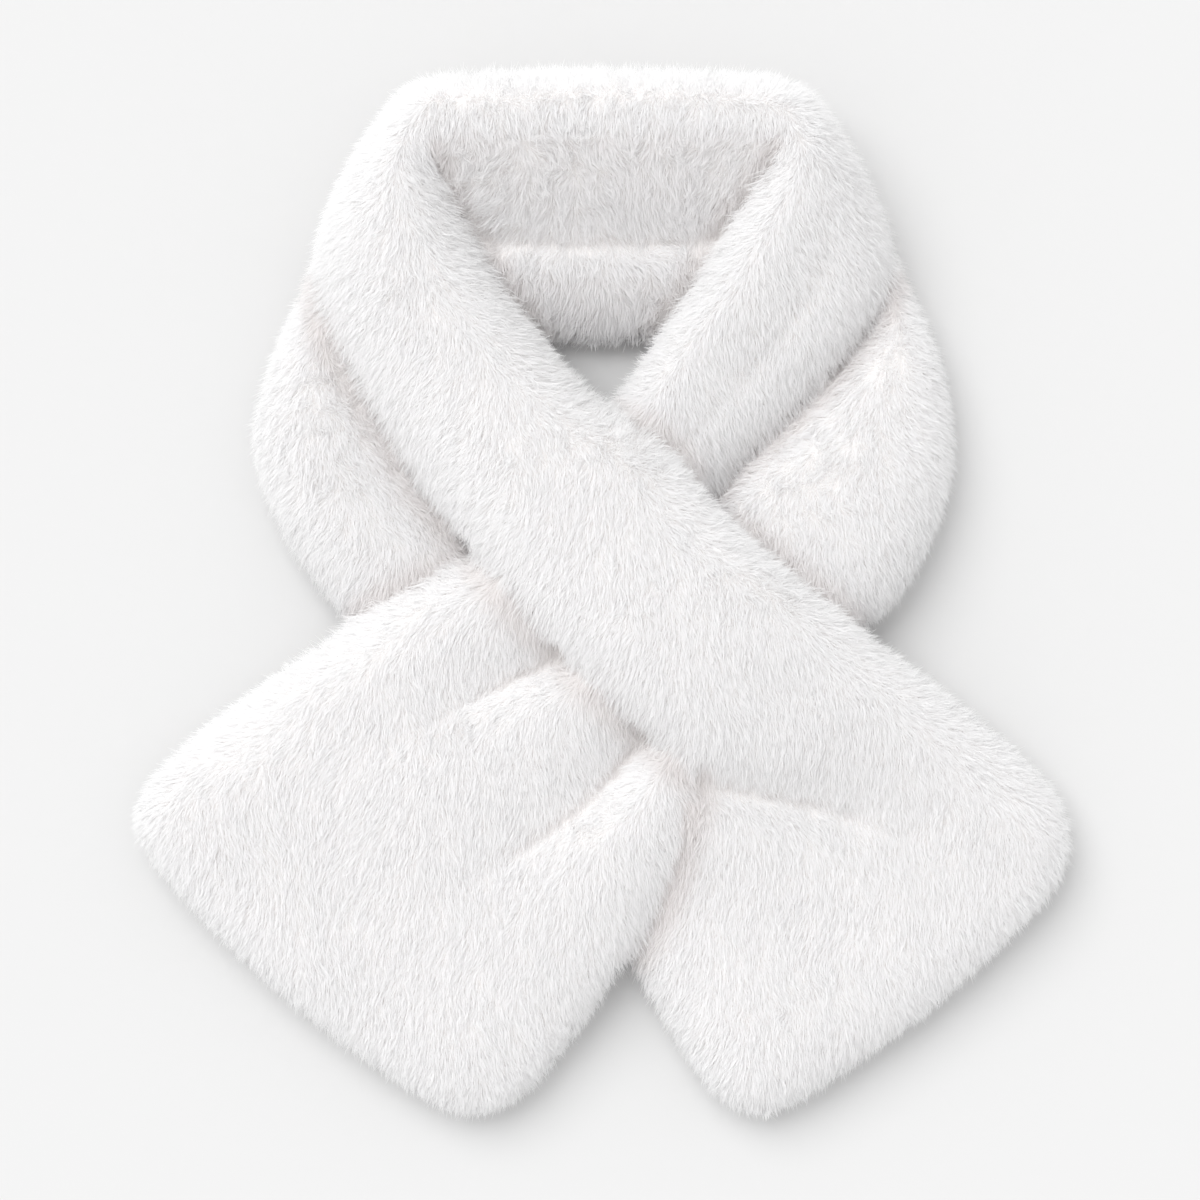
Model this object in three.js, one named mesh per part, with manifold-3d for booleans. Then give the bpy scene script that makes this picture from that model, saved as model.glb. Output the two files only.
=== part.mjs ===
// A pull-through fur collar wrap laid flat on a table: one padded strip of long-pile fur, about 155 mm
// wide and 920 mm long, wound once into a neck loop. The left front passes over the right front as a
// roll, and the right front is drawn through the lengthwise slit below that roll. Both ends fan out.
//
// Millimetres, +Z up, the table is Z = 0. Left is -X and right is +X, seen from above with the neck at
// the top (+Y). Every stretch is the outer shape of the pile, lofted from a table with a row for each
// section. A row says where the stretch's two edges lie in plan (A and B), how high its underside and
// its top are, where its folds are and how deep, how far the section bows onward, and how far it is from
// the strip's end. Stretches that lie lower are cut clear of those that lie on them.

import * as THREE from "three";
import { mergeVertices } from "three/addons/utils/BufferGeometryUtils.js";
import Module from "manifold-3d";

const wasm = await Module();
wasm.setup();

// Driving sizes
const SEAM_GAP = 0.3; // air between two stretches
const SHARPEST = 0.35; // least share of its move that a corner's faces may get, against spikes
const RIM_SHARE = 0.42; // height of the widest point of a rounded edge, as a share of the thickness
const FOOT_REACH = 11; // how far the underside's edge rounds in before it lies flat
const END_REACH = 24; // how far a tail's end rounds down
const END_LEFT = 0.04; // thickness left at the very end, as a share
const STEPS_PER_ROW = 2; // sections made for each row of a table
const WELD = 1e-3; // corners closer than this are one
const SLACK = 0.03; // faces are merged where the form changes by no more than this

// Turns rows of numbers into objects with named columns.
function table(names, rows) {
  const keys = names.split(" ");
  return rows.map((row) =>
    Object.fromEntries(keys.map((key, i) => [key, row[i]])),
  );
}

// For each stretch: soft is how far its top rounds in from A and from B; counts are the faces across,
// from edge to fold to edge; reach is how wide each fold's shoulder is towards A and towards B, as a
// share of the width.

// The roll from the left shoulder over the crossing: A is its neck edge, B its outer edge.
const ROLL_LEFT = {
  name: "roll_left",
  soft: [20, 26],
  counts: [12],
  rows: table("aX aY bX bY underA underB overA overMid overB", [
    [-60.2, 172.6, -64.6, 188.7, 0, 0, 60, 61, 58],
    [-59.1, 167.9, -74.5, 181.4, 0, 0, 60, 61, 56],
    [-57.7, 162.4, -84.0, 169.7, 0, 0, 59, 61, 53],
    [-55.5, 153.3, -93.8, 154.4, 0, 0, 58, 60, 49],
    [-51.8, 142.3, -102.2, 136.1, 0, 0, 57, 58, 46],
    [-46.0, 128.8, -105.5, 120.5, 0, 0, 56, 56, 44],
    [-37.2, 113.1, -100.7, 101.1, 0, 0, 55, 55, 45],
    [-27.0, 99.6, -92.0, 82.9, 0, 0, 54, 54, 46],
    [-14.6, 85.0, -78.1, 59.5, 4, 4, 54, 55, 48],
    [-0.7, 71.2, -63.5, 37.6, 12, 12, 56, 57, 50],
    [17.5, 57.7, -47.4, 17.2, 22, 20, 59, 60, 53],
    [35.8, 39.4, -29.9, -3.6, 29, 27, 60, 62, 56],
    [54.0, 20.1, -12.4, -21.9, 31, 30, 60, 63, 58],
    [72.3, 4.0, 3.6, -37.2, 28, 30, 58, 62, 57],
    [88.7, -8.0, 18.2, -51.1, 23, 26, 54, 58, 54],
    [99.6, -15.3, 32.1, -65.0, 17, 20, 49, 53, 49],
  ]),
};

// The lower half of the left front, which shows beside the roll and runs on under the left tail.
const DRAPE_LEFT = {
  name: "drape_left",
  soft: [14, 24],
  counts: [9],
  rows: table("aX aY bX bY underA underB overA overMid overB", [
    [-101.1, 121.5, -107.3, 118.6, 0, 0, 18, 20, 20],
    [-93.8, 107.7, -113.1, 105.8, 0, 0, 20, 26, 26],
    [-84.0, 89.4, -121.2, 88.7, 0, 0, 20, 29, 29],
    [-73.7, 71.2, -127.0, 69.3, 0, 0, 20, 31, 30],
    [-62.8, 52.9, -128.8, 56.6, 0, 0, 20, 32, 30],
    [-52.6, 34.7, -126.3, 42.7, 0, 0, 20, 32, 30],
    [-40.9, 18.2, -119.0, 25.6, 0, 0, 20, 31, 29],
    [-31.8, 1.8, -109.5, 9.9, 0, 0, 18, 29, 27],
    [-26.3, -16.4, -98.5, -4.0, 0, 0, 16, 24, 24],
    [-17.2, -34.7, -82.9, -25.6, 0, 0, 15, 18, 18],
    [-2.6, -49.3, -64.6, -51.1, 0, 0, 15, 16, 15],
    [13.9, -59.1, -44.5, -76.6, 0, 0, 15, 16, 15],
    [32.1, -66.1, -14.6, -101.1, 0, 0, 15, 16, 15],
  ]),
};

// The roll from the right shoulder, which ends under the crossing. Its fold is a shallow trough.
const ROLL_RIGHT = {
  name: "roll_right",
  soft: [20, 26],
  counts: [8, 5],
  reach: [[0.4, 0.26]],
  rows: table(
    "aX aY bX bY underA underB overA overMid overB foldAt1 foldDeep1",
    [
      [63.1, 174.1, 66.8, 188.0, 0, 0, 60, 61, 58, 0.6, 0],
      [62.0, 169.7, 77.7, 180.7, 0, 0, 60, 61, 57, 0.6, 0],
      [59.9, 162.4, 88.0, 166.8, 0, 0, 60, 60, 54, 0.6, 1],
      [55.8, 152.2, 96.7, 152.2, 0, 0, 60, 57, 49, 0.6, 2],
      [49.6, 140.5, 104.0, 136.9, 0, 0, 60, 53, 44, 0.6, 3],
      [42.3, 127.8, 107.3, 121.5, 0, 0, 59, 50, 41, 0.6, 4],
      [34.3, 114.2, 103.7, 107.7, 0, 0, 57, 48, 39, 0.59, 4],
      [25.6, 100.4, 94.2, 93.1, 0, 0, 54, 46, 38, 0.58, 4],
      [15.7, 86.5, 80.3, 76.6, 0, 0, 50, 44, 37, 0.57, 4],
      [4.7, 71.9, 64.2, 59.5, 0, 0, 44, 42, 36, 0.57, 3],
      [-8.0, 60.2, 46.0, 41.2, 0, 0, 36, 38, 34, 0.57, 2],
      [-20.8, 49.3, 25.6, 12.8, 0, 0, 32, 34, 32, 0.57, 0],
    ],
  ),
};

// The lower half of the right front, which shows beside its roll and ends under the crossing.
const DRAPE_RIGHT = {
  name: "drape_right",
  soft: [14, 24],
  counts: [9],
  rows: table("aX aY bX bY underA underB overA overMid overB", [
    [103.3, 121.5, 108.8, 121.5, 0, 0, 20, 22, 22],
    [98.5, 107.7, 115.3, 107.7, 0, 0, 20, 26, 26],
    [90.5, 94.9, 122.6, 91.2, 0, 0, 21, 29, 29],
    [77.7, 80.3, 127.8, 73.0, 0, 0, 22, 32, 30],
    [63.1, 65.7, 129.6, 54.8, 0, 0, 24, 34, 31],
    [50.4, 51.1, 128.1, 38.3, 0, 0, 26, 36, 31],
    [41.2, 38.3, 123.4, 23.0, 0, 0, 28, 37, 31],
    [35.0, 27.4, 115.0, 7.3, 0, 0, 30, 37, 30],
    [30.3, 19.0, 103.3, -8.4, 0, 0, 32, 36, 28],
    [26.6, 12.0, 68.6, -28.1, 0, 0, 33, 34, 28],
  ]),
};

// The gathered right front as it comes out of the slit and fans out: A is its upper long edge,
// B its lower one. Its two folds part three lobes at the slit and fade towards the end.
const TAIL_LEFT = {
  name: "tail_left",
  soft: [24, 24],
  counts: [6, 7, 5],
  reach: [
    [0.26, 0.13],
    [0.26, 0.12],
  ],
  rows: table(
    "aX aY bX bY underA underB overA overMid overB foldAt1 foldDeep1 foldAt2 foldDeep2 bow fromEnd",
    [
      [-22.6, 47.4, 65.0, -29.9, 0, 0, 32, 33, 32, 0.48, 4, 0.84, 4, 0, 222],
      [-32.9, 32.9, 49.6, -43.8, 10, 12, 41, 42, 40, 0.47, 12, 0.84, 12, 0, 203],
      [-44.5, 17.2, 35.8, -59.5, 15, 16, 45, 47, 46, 0.445, 16, 0.82, 17, 0, 183],
      [-62.8, 6.6, 35.0, -74.8, 15, 16, 43, 47, 46, 0.4, 14, 0.77, 16, 0, 163],
      [-81.0, -2.9, 29.6, -92.3, 12, 16, 40, 45, 44, 0.353, 9, 0.735, 13, 0, 142],
      [-99.3, -15.0, 22.3, -109.5, 3, 15, 36, 42, 41, 0.31, 5, 0.7, 10, 0, 120],
      [-116.8, -26.6, 13.9, -125.9, 0, 12, 33, 38, 37, 0.28, 2, 0.66, 6, 0, 98],
      [-132.9, -38.3, 4.7, -142.3, 0, 6, 31, 34, 33, 0.26, 0, 0.62, 3, 1, 76],
      [-146.7, -48.2, -4.4, -156.9, 0, 0, 29, 31, 30, 0.26, 0, 0.6, 1, 2, 56],
      [-158.4, -59.1, -14.6, -169.7, 0, 0, 28, 29, 28, 0.26, 0, 0.6, 0, 3.5, 38],
      [-167.9, -69.0, -25.6, -182.5, 0, 0, 28, 28, 28, 0.26, 0, 0.6, 0, 5, 23],
      [-172.6, -79.2, -37.2, -190.2, 0, 0, 28, 28, 28, 0.26, 0, 0.6, 0, 6, 11],
      [-171.2, -88.7, -47.4, -192.4, 0, 0, 28, 28, 28, 0.26, 0, 0.6, 0, 6.5, 3.7],
      [-166.1, -96.7, -56.2, -190.9, 0, 0, 28, 28, 28, 0.26, 0, 0.6, 0, 7, 0],
    ],
  ),
};

// The left front's end below the slit: A is its upper long edge, B the one under the left tail.
// Its fold runs on from the roll's lower edge and fades.
const TAIL_RIGHT = {
  name: "tail_right",
  soft: [22, 22],
  counts: [8, 8],
  reach: [[0.17, 0.13]],
  rows: table(
    "aX aY bX bY underA underB overA overMid overB foldAt1 foldDeep1 bow fromEnd",
    [
      [98.4, -14.9, -15.4, -100.2, 14, 0, 50, 50, 16, 0.6, 12, 0, 133],
      [110.6, -23.7, -6.2, -113.1, 10, 0, 49, 45, 18, 0.52, 10, 0, 118],
      [123.4, -33.9, 1.5, -123.0, 5, 0, 45, 39.5, 21, 0.45, 8, 0, 102],
      [136.1, -43.8, 7.3, -132.1, 2, 0, 41, 35, 23, 0.39, 6, 0, 86],
      [147.1, -52.9, 13.1, -142.3, 0, 0, 37, 32, 25, 0.34, 4, 1, 70],
      [156.9, -62.0, 19.3, -152.2, 0, 0, 33, 30, 26, 0.28, 1.5, 2, 54],
      [164.6, -69.3, 25.9, -162.8, 0, 0, 30, 29, 27, 0.27, 0, 3, 40],
      [170.1, -77.7, 32.9, -174.1, 0, 0, 28, 28, 28, 0.27, 0, 4, 27],
      [172.6, -88.7, 41.2, -184.3, 0, 0, 28, 28, 28, 0.27, 0, 5, 15.5],
      [171.2, -99.6, 51.1, -190.9, 0, 0, 28, 28, 28, 0.27, 0, 6, 6],
      [166.4, -108.8, 62.0, -192.4, 0, 0, 28, 28, 28, 0.27, 0, 6, 0],
    ],
  ),
};

// The stretch behind the neck, leaning back: A is its top edge, B the one on the table. The face that
// shows is the inner one, with the strip's middle crease across it.
const NECK_BACK = {
  name: "neck_back",
  soft: [18, 15],
  counts: [8, 6],
  reach: [[0.38, 0.14]],
  rows: table(
    "aX aY bX bY underA underB overA overMid overB foldAt1 foldDeep1",
    [
      [-65.7, 188.0, -65.7, 107.7, 0, 0, 66, 44.5, 14, 0.63, 6],
      [-59.1, 189.1, -59.1, 100.4, 0, 0, 66, 44.5, 14, 0.63, 7.5],
      [-44.5, 189.8, -44.5, 95.3, 0, 0, 66, 44.5, 14, 0.63, 8.5],
      [-22.6, 190.5, -26.3, 92.7, 0, 0, 66, 44.5, 14, 0.63, 9],
      [-0.7, 190.9, -2.6, 92.0, 0, 0, 66, 44.5, 15, 0.63, 9],
      [21.2, 190.5, 19.3, 92.7, 0, 0, 66, 44.5, 14, 0.63, 9],
      [43.1, 189.8, 41.2, 95.3, 0, 0, 66, 44.5, 14, 0.63, 8.5],
      [59.5, 188.7, 57.7, 100.4, 0, 0, 66, 44.5, 14, 0.63, 7.5],
      [68.6, 187.6, 68.6, 107.7, 0, 0, 66, 44.5, 14, 0.63, 6],
    ],
  ),
};

// The upper one of two stretches that meet comes first.
const STRETCHES = [
  ROLL_LEFT,
  TAIL_LEFT,
  ROLL_RIGHT,
  TAIL_RIGHT,
  DRAPE_RIGHT,
  DRAPE_LEFT,
  NECK_BACK,
];

// A column's value at a real-numbered place between the rows, on a smooth curve through all of them.
function columnAt(rows, key, place) {
  const last = rows.length - 1;
  const low = Math.min(Math.floor(place), last - 1);
  const value = (i) => rows[THREE.MathUtils.clamp(i, 0, last)][key] ?? 0;
  const [before, start, end, after] = [-1, 0, 1, 2].map((k) => value(low + k));
  const t = place - low;
  const curve =
    2 * start +
    (end - before) * t +
    (2 * before - 5 * start + 4 * end - after) * t * t +
    (3 * start - before - 3 * end + after) * t * t * t;
  return curve / 2;
}

// A quarter of an ellipse: 0 at the edge, 1 from the reach inwards.
function roundedIn(distance, reach) {
  const short = Math.max(0, 1 - distance / reach);
  return Math.sqrt(Math.max(0, 1 - short * short));
}

// Places across a stretch from 0 to 1, close together at both edges and at each fold.
function placesAcross(folds, counts) {
  const knots = [0, ...folds.map((fold) => fold.at), 1];
  const places = [0];
  counts.forEach((count, part) => {
    for (let step = 1; step <= count; step++) {
      const eased = (1 - Math.cos((Math.PI * step) / count)) / 2;
      places.push(THREE.MathUtils.lerp(knots[part], knots[part + 1], eased));
    }
  });
  return places;
}

// How far the folds lower the top at one place across: a crease with a rounded shoulder on each side.
function foldDip(folds, across) {
  let dip = 0;
  for (const fold of folds) {
    const reach = across < fold.at ? fold.reachA : fold.reachB;
    const shoulder = Math.max(0, 1 - Math.abs(across - fold.at) / reach);
    dip += fold.deep * shoulder * shoulder;
  }
  return dip;
}

// 1 where the rows run on to the right of the way from A to B, -1 where they run on to the left.
function travelSide(rows) {
  let area = 0;
  rows.slice(1).forEach((next, i) => {
    const { aX, aY, bX, bY } = rows[i];
    const alongX = next.aX + next.bX - aX - bX;
    const alongY = next.aY + next.bY - aY - bY;
    area += (bY - aY) * alongX - (bX - aX) * alongY;
  });
  return Math.sign(area);
}

// One section: its points along the top from A to B, and those below them along the underside.
function sectionAt(stretch, place) {
  const { rows, counts, soft, reach = [] } = stretch;
  const get = (key) => columnAt(rows, key, place);
  const edgeA = new THREE.Vector2(get("aX"), get("aY"));
  const edgeB = new THREE.Vector2(get("bX"), get("bY"));
  const width = edgeA.distanceTo(edgeB);
  const onward = new THREE.Vector2().subVectors(edgeB, edgeA).normalize();
  onward.set(onward.y, -onward.x).multiplyScalar(travelSide(rows));

  const folds = reach.map(([reachA, reachB], i) => ({
    at: get(`foldAt${i + 1}`),
    deep: get(`foldDeep${i + 1}`),
    reachA,
    reachB,
  }));
  const tapers = "fromEnd" in rows[0];
  const plump = tapers
    ? Math.max(END_LEFT, roundedIn(Math.max(0, get("fromEnd")), END_REACH))
    : 1;
  const half = width / 2;
  const softA = Math.min(soft[0], half);
  const softB = Math.min(soft[1], half);
  const foot = Math.min(FOOT_REACH, half);

  const top = [];
  const bottom = [];
  for (const across of placesAcross(folds, counts)) {
    const bow = get("bow") * 4 * across * (1 - across);
    const at = edgeA.clone().lerp(edgeB, across).addScaledVector(onward, bow);
    const fromA = across * width;
    const fromB = width - fromA;
    const raised = THREE.MathUtils.lerp(get("underA"), get("underB"), across);
    const under = Math.max(0, raised);
    const crest =
      get("overA") * (1 - across) * (1 - 2 * across) +
      get("overMid") * 4 * across * (1 - across) +
      get("overB") * across * (2 * across - 1);
    const rim = under + (crest - under) * RIM_SHARE;
    const upper = roundedIn(fromA, softA) * roundedIn(fromB, softB) * plump;
    const lower = roundedIn(fromA, foot) * roundedIn(fromB, foot) * plump;
    const over = crest - foldDip(folds, across);
    top.push(new THREE.Vector3(at.x, at.y, rim + (over - rim) * upper));
    bottom.push(new THREE.Vector3(at.x, at.y, rim - (rim - under) * lower));
  }
  return { top, bottom };
}

// Joins the sections of a stretch into one closed mesh, with its two ends capped.
function loft(stretch) {
  const places = (stretch.rows.length - 1) * STEPS_PER_ROW;
  const sections = Array.from({ length: places + 1 }, (_, i) =>
    sectionAt(stretch, i / STEPS_PER_ROW),
  );
  const corners = [];
  const rightward = travelSide(stretch.rows) > 0;
  const quad = (a, b, c, d) =>
    rightward ? corners.push(a, c, b, a, d, c) : corners.push(a, b, c, a, c, d);
  const across = sections[0].top.length - 1;
  for (let j = 0; j < across; j++) {
    for (let i = 0; i < places; i++) {
      const [near, far] = [sections[i], sections[i + 1]];
      quad(near.top[j], near.top[j + 1], far.top[j + 1], far.top[j]);
      quad(far.bottom[j], far.bottom[j + 1], near.bottom[j + 1], near.bottom[j]);
    }
    const [first, last] = [sections[0], sections[places]];
    quad(first.bottom[j], first.bottom[j + 1], first.top[j + 1], first.top[j]);
    quad(last.top[j], last.top[j + 1], last.bottom[j + 1], last.bottom[j]);
  }
  const open = new THREE.BufferGeometry().setFromPoints(corners);
  return mergeVertices(open, WELD);
}

// The same mesh with every vertex moved out, so that each face moves by at least the distance.
function grown(geometry, distance) {
  const larger = geometry.clone();
  const place = larger.getAttribute("position");
  const index = larger.index.array;
  const facing = Array.from({ length: place.count }, () => []);
  for (let i = 0; i < index.length; i += 3) {
    const corners = Array.from(index.subarray(i, i + 3));
    const points = corners.map((at) =>
      new THREE.Vector3().fromBufferAttribute(place, at),
    );
    const normal = new THREE.Triangle(...points).getNormal(new THREE.Vector3());
    corners.forEach((at) => facing[at].push(normal));
  }
  facing.forEach((normals, i) => {
    const out = normals
      .reduce((sum, normal) => sum.add(normal), new THREE.Vector3())
      .normalize();
    const least = Math.min(...normals.map((normal) => normal.dot(out)));
    const move = distance / Math.max(least, SHARPEST);
    const at = new THREE.Vector3().fromBufferAttribute(place, i);
    at.addScaledVector(out, move);
    place.setXYZ(i, at.x, at.y, at.z);
  });
  return larger;
}

// A closed mesh as a solid with its faces pointing out.
function solidOf(geometry) {
  const position = geometry.getAttribute("position").array;
  const index = Uint32Array.from(geometry.index.array);
  return new wasm.Manifold(
    new wasm.Mesh({
      numProp: 3,
      vertProperties: Float32Array.from(position),
      triVerts: index,
    }),
  );
}

// A solid back as a geometry. Slivers that a cut leaves beside the main body are dropped.
function geometryOf(solid) {
  const bodies = solid.decompose().sort((a, b) => b.volume() - a.volume());
  const mesh = bodies[0].getMesh();
  const position = new Float32Array(mesh.numVert * 3);
  for (let i = 0; i < mesh.numVert; i++) {
    const start = i * mesh.numProp;
    position.set(mesh.vertProperties.subarray(start, start + 3), i * 3);
  }
  return new THREE.BufferGeometry()
    .setAttribute("position", new THREE.BufferAttribute(position, 3))
    .setIndex(new THREE.BufferAttribute(Uint32Array.from(mesh.triVerts), 1));
}

const fur = new THREE.MeshStandardMaterial({
  name: "white_fur",
  color: new THREE.Color(0.93, 0.92, 0.92),
  roughness: 0.95,
  metalness: 0,
});

const wrap = new THREE.Group();
const cutters = [];
for (const stretch of STRETCHES) {
  const form = loft(stretch);
  const solid = cutters
    .reduce((left, cutter) => left.subtract(cutter), solidOf(form))
    .simplify(SLACK);
  const mesh = new THREE.Mesh(geometryOf(solid), fur.clone());
  mesh.name = stretch.name;
  wrap.add(mesh);
  cutters.push(solidOf(grown(form, SEAM_GAP + SLACK)));
}

// The plan is drawn round the neck opening; the part's own middle goes to the origin.
const box = new THREE.Box3().setFromObject(wrap);
const middle = box.getCenter(new THREE.Vector3());
for (const mesh of wrap.children) {
  mesh.geometry.translate(-middle.x, -middle.y, -box.min.z);
}

export default wrap;
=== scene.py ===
"""Dresses the laid-out fur collar wrap: one skin through all its stretches, and white pile on both faces.

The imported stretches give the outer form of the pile. The skin lies a pile's depth inside that form, and
fibres rooted in it reach back out. Each stretch carries its own share of the skin and of the fibres.
"""

import logging
import math
from dataclasses import dataclass, field
from enum import Enum

import bmesh
import bpy
import numpy as np
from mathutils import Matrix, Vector
from mathutils.bvhtree import BVHTree
from mathutils.kdtree import KDTree


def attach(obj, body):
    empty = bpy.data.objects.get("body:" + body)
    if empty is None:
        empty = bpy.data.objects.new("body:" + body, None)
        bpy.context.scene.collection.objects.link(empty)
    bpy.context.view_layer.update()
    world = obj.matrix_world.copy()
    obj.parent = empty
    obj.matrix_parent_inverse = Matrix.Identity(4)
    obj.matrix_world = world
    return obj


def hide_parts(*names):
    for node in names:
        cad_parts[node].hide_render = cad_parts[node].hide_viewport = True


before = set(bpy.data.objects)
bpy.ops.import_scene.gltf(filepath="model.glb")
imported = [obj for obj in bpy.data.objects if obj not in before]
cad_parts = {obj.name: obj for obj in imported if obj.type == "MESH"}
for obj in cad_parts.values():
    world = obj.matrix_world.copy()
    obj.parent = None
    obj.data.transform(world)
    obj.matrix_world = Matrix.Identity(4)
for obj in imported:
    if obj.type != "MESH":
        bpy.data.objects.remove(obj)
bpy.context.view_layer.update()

log = logging.getLogger("fur_wrap")
logging.basicConfig(level=logging.INFO, format="%(name)s: %(message)s")

MM = 0.001
SEED = 7341
PILE_MAP = "OFBake"
UP = np.array([0.0, 0.0, 1.0])
TOWARDS_TAILS = np.array([0.0, -1.0, 0.0])


class Held(Enum):
    """How a stretch of the strip lies."""

    FOLDED = "folded"
    GATHERED = "gathered"
    LAID = "laid"


class Lay(Enum):
    """How the pile stands on a face of the strip."""

    STANDING = "standing"
    PRESSED = "pressed"


@dataclass(frozen=True)
class Stretch:
    """One stretch of the strip, and the cut of the cloth that shows on it."""

    node: str
    around: float
    length: float
    held: Held
    rests_on: tuple[str, ...] = ()
    ruffle: float = 1.0
    layer: int = 0


@dataclass(frozen=True)
class Run:
    """Two stretches over whose shared seam the strip runs on unbroken, at and beyond a given y."""

    one: str
    other: str
    from_y: float = -1.0


@dataclass(frozen=True)
class FibreCut:
    """One kind of fibre: how thickly it stands, its size, and how it leans and curls."""

    name: str
    lay: Lay
    per_square_mm: float
    length: float
    length_spread: float
    width: float
    lean_at_root: float
    lean_at_tip: float
    stray: float
    drawn_in: float
    jointed: bool


@dataclass(frozen=True)
class Colours:
    """The pile's colours from the root of a fibre to its tip, as linear red, green and blue."""

    root: tuple[float, float, float]
    middle: tuple[float, float, float]
    tip: tuple[float, float, float]


@dataclass(frozen=True)
class PileFinish:
    """White synthetic fur: each fibre is a little darker and warmer at its root than at its tip, partly as
    painted shade of the deep pile.
    """

    name: str
    colours: Colours
    # Painted shade: a darker, warmer tint for fibres in creases, under another stretch and inside the neck.
    painted_sheltered_shade: tuple[float, float, float] = (0.925, 0.906, 0.900)
    # Painted shade on the flat tops; fibres at the rims go to white, a painted highlight.
    painted_flat_shade: tuple[float, float, float] = (0.982, 0.981, 0.983)
    roughness: float = 0.75
    sheen: float = 0.25
    sheen_roughness: float = 0.5
    let_through: float = 0.45

    def material(self) -> bpy.types.Material:
        """Builds the fibres' material, which reads the fibre's own map.

        Returns:
            The material. Across the map the fibres run from sheltered ones in painted shade over those on
            the flat, a little darker as painted shade, to those at the rims, white as a painted highlight,
            and up it from root to tip.
        """
        material = bpy.data.materials.new(self.name)
        material.use_nodes = True
        nodes = material.node_tree.nodes
        links = material.node_tree.links
        shader = nodes["Principled BSDF"]
        along = nodes.new("ShaderNodeUVMap")
        along.uv_map = PILE_MAP
        split = nodes.new("ShaderNodeSeparateXYZ")
        links.new(along.outputs["UV"], split.inputs["Vector"])

        ramp = nodes.new("ShaderNodeValToRGB")
        stops = ramp.color_ramp.elements
        stops[0].position = 0.0
        stops[0].color = (*self.colours.root, 1.0)
        stops[1].position = 1.0
        stops[1].color = (*self.colours.tip, 1.0)
        middle = stops.new(0.45)
        middle.color = (*self.colours.middle, 1.0)
        links.new(split.outputs["Y"], ramp.inputs["Fac"])

        # Across the map: painted shade for sheltered fibres, a darker tint as painted shade on the flat,
        # white as a painted highlight at the rims.
        shade = nodes.new("ShaderNodeValToRGB")
        ends = shade.color_ramp.elements
        ends[0].color = (*self.painted_sheltered_shade, 1.0)
        ends[1].color = (1.0, 1.0, 1.0, 1.0)
        flat = ends.new(0.36)
        flat.color = (*self.painted_flat_shade, 1.0)
        links.new(split.outputs["X"], shade.inputs["Fac"])
        tinted = nodes.new("ShaderNodeVectorMath")
        tinted.operation = "MULTIPLY"
        links.new(ramp.outputs["Color"], tinted.inputs[0])
        links.new(shade.outputs["Color"], tinted.inputs[1])
        links.new(tinted.outputs["Vector"], shader.inputs["Base Color"])

        shader.inputs["Roughness"].default_value = self.roughness
        shader.inputs["Sheen Weight"].default_value = self.sheen
        shader.inputs["Sheen Roughness"].default_value = self.sheen_roughness
        shader.inputs["Specular IOR Level"].default_value = 0.2

        through = nodes.new("ShaderNodeBsdfTranslucent")
        links.new(tinted.outputs["Vector"], through.inputs["Color"])
        fibre = nodes.new("ShaderNodeMixShader")
        fibre.inputs["Fac"].default_value = self.let_through
        links.new(shader.outputs["BSDF"], fibre.inputs[1])
        links.new(through.outputs["BSDF"], fibre.inputs[2])
        links.new(fibre.outputs["Shader"], nodes["Material Output"].inputs["Surface"])
        return material


@dataclass(frozen=True)
class SkinFinish:
    """The knitted ground of the fur, seen only between the fibres."""

    name: str
    colour: tuple[float, float, float]
    mottle: float = 0.06
    mottle_size: float = 9.0 * MM
    roughness: float = 0.95

    def material(self) -> bpy.types.Material:
        """Builds the ground cloth's material on object coordinates.

        Returns:
            The material, mottled as the roots of the pile thicken and thin, with a fine knitted bump.
        """
        material = bpy.data.materials.new(self.name)
        material.use_nodes = True
        nodes = material.node_tree.nodes
        links = material.node_tree.links
        shader = nodes["Principled BSDF"]
        place = nodes.new("ShaderNodeTexCoord")

        mottle = nodes.new("ShaderNodeTexNoise")
        mottle.inputs["Scale"].default_value = 1.0 / self.mottle_size
        mottle.inputs["Detail"].default_value = 3.0
        links.new(place.outputs["Object"], mottle.inputs["Vector"])
        ramp = nodes.new("ShaderNodeValToRGB")
        stops = ramp.color_ramp.elements
        stops[0].position = 0.3
        stops[0].color = (*[c * (1.0 - self.mottle) for c in self.colour], 1.0)
        stops[1].position = 0.7
        stops[1].color = (*self.colour, 1.0)
        links.new(mottle.outputs["Fac"], ramp.inputs["Fac"])
        links.new(ramp.outputs["Color"], shader.inputs["Base Color"])

        loops = nodes.new("ShaderNodeTexNoise")
        loops.inputs["Scale"].default_value = 1.0 / (0.8 * MM)
        links.new(place.outputs["Object"], loops.inputs["Vector"])
        bump = nodes.new("ShaderNodeBump")
        bump.inputs["Strength"].default_value = 0.4
        bump.inputs["Distance"].default_value = 0.4 * MM
        links.new(loops.outputs["Fac"], bump.inputs["Height"])
        links.new(bump.outputs["Normal"], shader.inputs["Normal"])
        shader.inputs["Roughness"].default_value = self.roughness
        return material


STRETCHES = (
    Stretch("neck_back", around=0.21, length=0.135, held=Held.FOLDED, ruffle=3.0),
    Stretch(
        "roll_left",
        around=0.12,
        length=0.330,
        held=Held.FOLDED,
        rests_on=("tail_left", "roll_right"),
        layer=3,
    ),
    Stretch("drape_left", around=0.12, length=0.190, held=Held.FOLDED),
    Stretch("roll_right", around=0.12, length=0.200, held=Held.FOLDED, layer=1),
    Stretch("drape_right", around=0.125, length=0.160, held=Held.FOLDED),
    Stretch(
        "tail_left",
        around=0.24,
        length=0.25,
        held=Held.GATHERED,
        rests_on=("tail_right", "drape_left"),
        layer=2,
    ),
    Stretch("tail_right", around=0.25, length=0.160, held=Held.LAID, layer=1),
)

UNBROKEN = (
    Run("roll_left", "tail_right"),
    Run("neck_back", "roll_left", from_y=165.0 * MM),
    Run("neck_back", "roll_right", from_y=165.0 * MM),
)

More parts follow.
